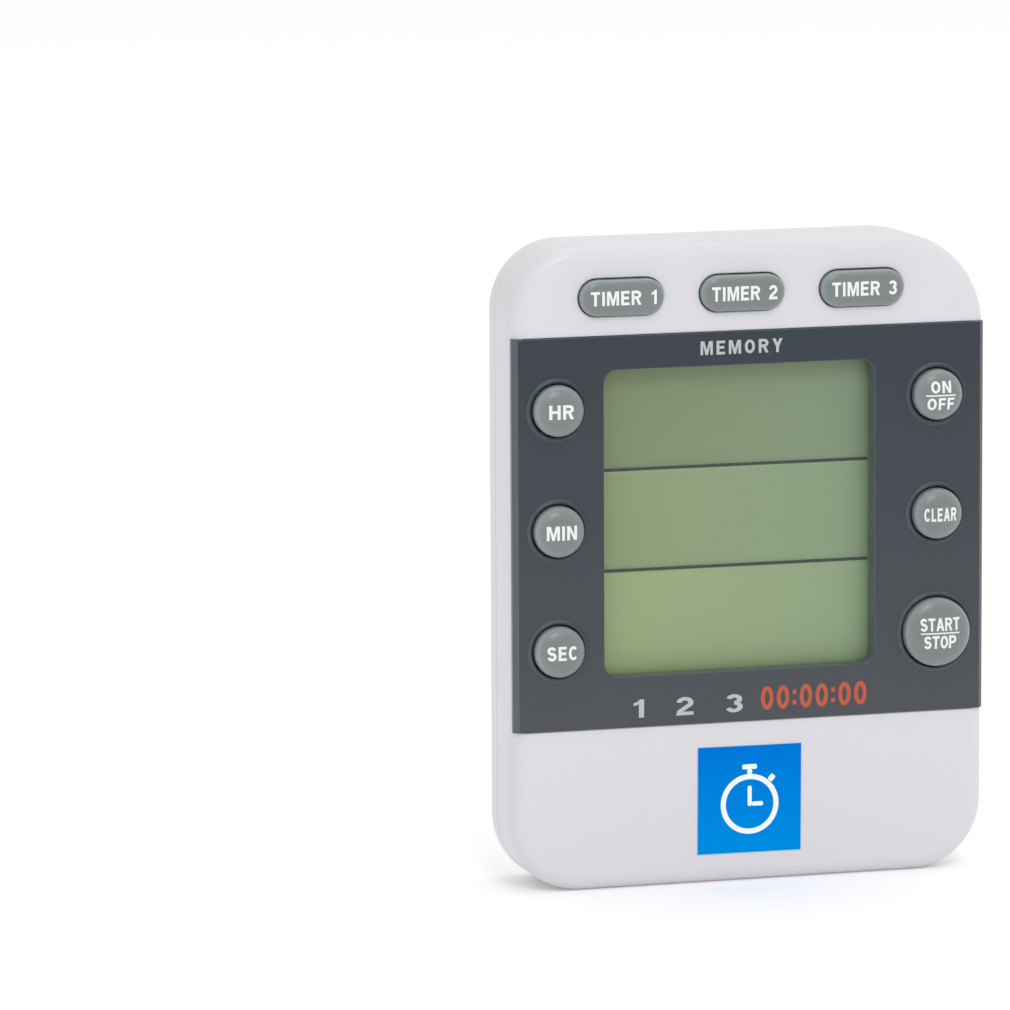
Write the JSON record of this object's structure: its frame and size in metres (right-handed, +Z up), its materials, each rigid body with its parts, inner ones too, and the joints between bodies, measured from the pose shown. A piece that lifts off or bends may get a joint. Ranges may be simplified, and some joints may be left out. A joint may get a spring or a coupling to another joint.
{
  "type": "lab timer",
  "caption": "Upright digital timer: white two-part case, dark face panel, grey round and pill keys, square display, AAA cells, fold-out rear stand.",
  "frame": {"origin": "middle of the bottom face that the timer stands on", "axes": "+Z up, +X to the right as seen from the front, front faces -Y"},
  "size_m": [0.07, 0.0187, 0.0914],
  "materials": {
    "case_white": "smooth moulded, soft gloss",
    "panel_grey": "satin moulded",
    "key_grey": "satin moulded",
    "window": "clear polished acrylic",
    "label_blue": "printed film",
    "slider_black": "fine grained",
    "steel": "bright nickel plate",
    "brass": "rolled sheet",
    "silicone": "translucent grey silicone",
    "board_green": "solder mask",
    "resin_black": "potted resin",
    "chip_tan": "fired ceramic",
    "frame_plastic": "moulded",
    "polarizer": "film",
    "lcd_glass": "polished",
    "reflector": "grey-green reflective film",
    "ceramic": "silvered ceramic",
    "cell_jacket": "plastic sleeve over steel",
    "wire_red": "insulated wire"
  },
  "bodies": {
    "case": {"front_shell": "case_white", "face_panel": "panel_grey", "display_window": "window", "rear_shell": "case_white", "front_label": "label_blue", "case_screws": "steel", "magnets": "steel", "volume_switch": "steel", "rubber_keypad": "silicone", "main_board": "board_green", "controller_blob": "resin_black", "crystal": "steel", "filter_capacitor": "resin_black", "chip_parts": "chip_tan", "board_screws": "steel", "lcd_frame": "frame_plastic", "lcd_polarizer": "polarizer", "lcd_front_glass": "lcd_glass", "lcd_rear_glass": "lcd_glass", "lcd_reflector": "reflector", "zebra_strip_upper": "silicone", "zebra_strip_lower": "silicone", "sounder_disc": "brass", "sounder_ceramic": "ceramic", "sounder_wires": "wire_red", "battery_upper": "cell_jacket", "battery_lower": "cell_jacket", "contact_positive": "steel", "contact_negative": "steel", "contact_bridge": "steel", "battery_wires": "wire_red"},
    "door": {"battery_door": "case_white"},
    "stand": {"stand_leg": "case_white"},
    "volume": {"volume_slider": "slider_black"},
    "hr": {"key_hr": "key_grey"},
    "min": {"key_min": "key_grey"},
    "sec": {"key_sec": "key_grey"},
    "on_off": {"key_on_off": "key_grey"},
    "clear": {"key_clear": "key_grey"},
    "start_stop": {"key_start_stop": "key_grey"},
    "timer_1": {"key_timer_1": "key_grey"},
    "timer_2": {"key_timer_2": "key_grey"},
    "timer_3": {"key_timer_3": "key_grey"}
  },
  "joints": [
    {"name": "door_hinge", "type": "hinge", "parent": "case", "child": "door", "pos_m": [0, 0.0072, 0.0046], "axis": [-1, 0, 0], "range_deg": [0, 80]},
    {"name": "stand_hinge", "type": "hinge", "parent": "case", "child": "stand", "pos_m": [0, 0.0065, 0.0654], "axis": [1, 0, 0], "range_deg": [0, 60]},
    {"name": "volume_slide", "type": "slide", "parent": "case", "child": "volume", "axis": [0, 0, 1], "range_m": [-0.002, 0.002]},
    {"name": "press_hr", "type": "slide", "parent": "case", "child": "hr", "axis": [0, 1, 0], "range_m": [0, 0.0007], "stiffness_N_per_m": 300, "deforming": ["rubber_keypad"]},
    {"name": "press_min", "type": "slide", "parent": "case", "child": "min", "axis": [0, 1, 0], "range_m": [0, 0.0007], "stiffness_N_per_m": 300, "deforming": ["rubber_keypad"]},
    {"name": "press_sec", "type": "slide", "parent": "case", "child": "sec", "axis": [0, 1, 0], "range_m": [0, 0.0007], "stiffness_N_per_m": 300, "deforming": ["rubber_keypad"]},
    {"name": "press_on_off", "type": "slide", "parent": "case", "child": "on_off", "axis": [0, 1, 0], "range_m": [0, 0.0007], "stiffness_N_per_m": 300, "deforming": ["rubber_keypad"]},
    {"name": "press_clear", "type": "slide", "parent": "case", "child": "clear", "axis": [0, 1, 0], "range_m": [0, 0.0007], "stiffness_N_per_m": 300, "deforming": ["rubber_keypad"]},
    {"name": "press_start_stop", "type": "slide", "parent": "case", "child": "start_stop", "axis": [0, 1, 0], "range_m": [0, 0.0007], "stiffness_N_per_m": 300, "deforming": ["rubber_keypad"]},
    {"name": "press_timer_1", "type": "slide", "parent": "case", "child": "timer_1", "axis": [0, 1, 0], "range_m": [0, 0.0007], "stiffness_N_per_m": 300, "deforming": ["rubber_keypad"]},
    {"name": "press_timer_2", "type": "slide", "parent": "case", "child": "timer_2", "axis": [0, 1, 0], "range_m": [0, 0.0007], "stiffness_N_per_m": 300, "deforming": ["rubber_keypad"]},
    {"name": "press_timer_3", "type": "slide", "parent": "case", "child": "timer_3", "axis": [0, 1, 0], "range_m": [0, 0.0007], "stiffness_N_per_m": 300, "deforming": ["rubber_keypad"]}
  ]
}
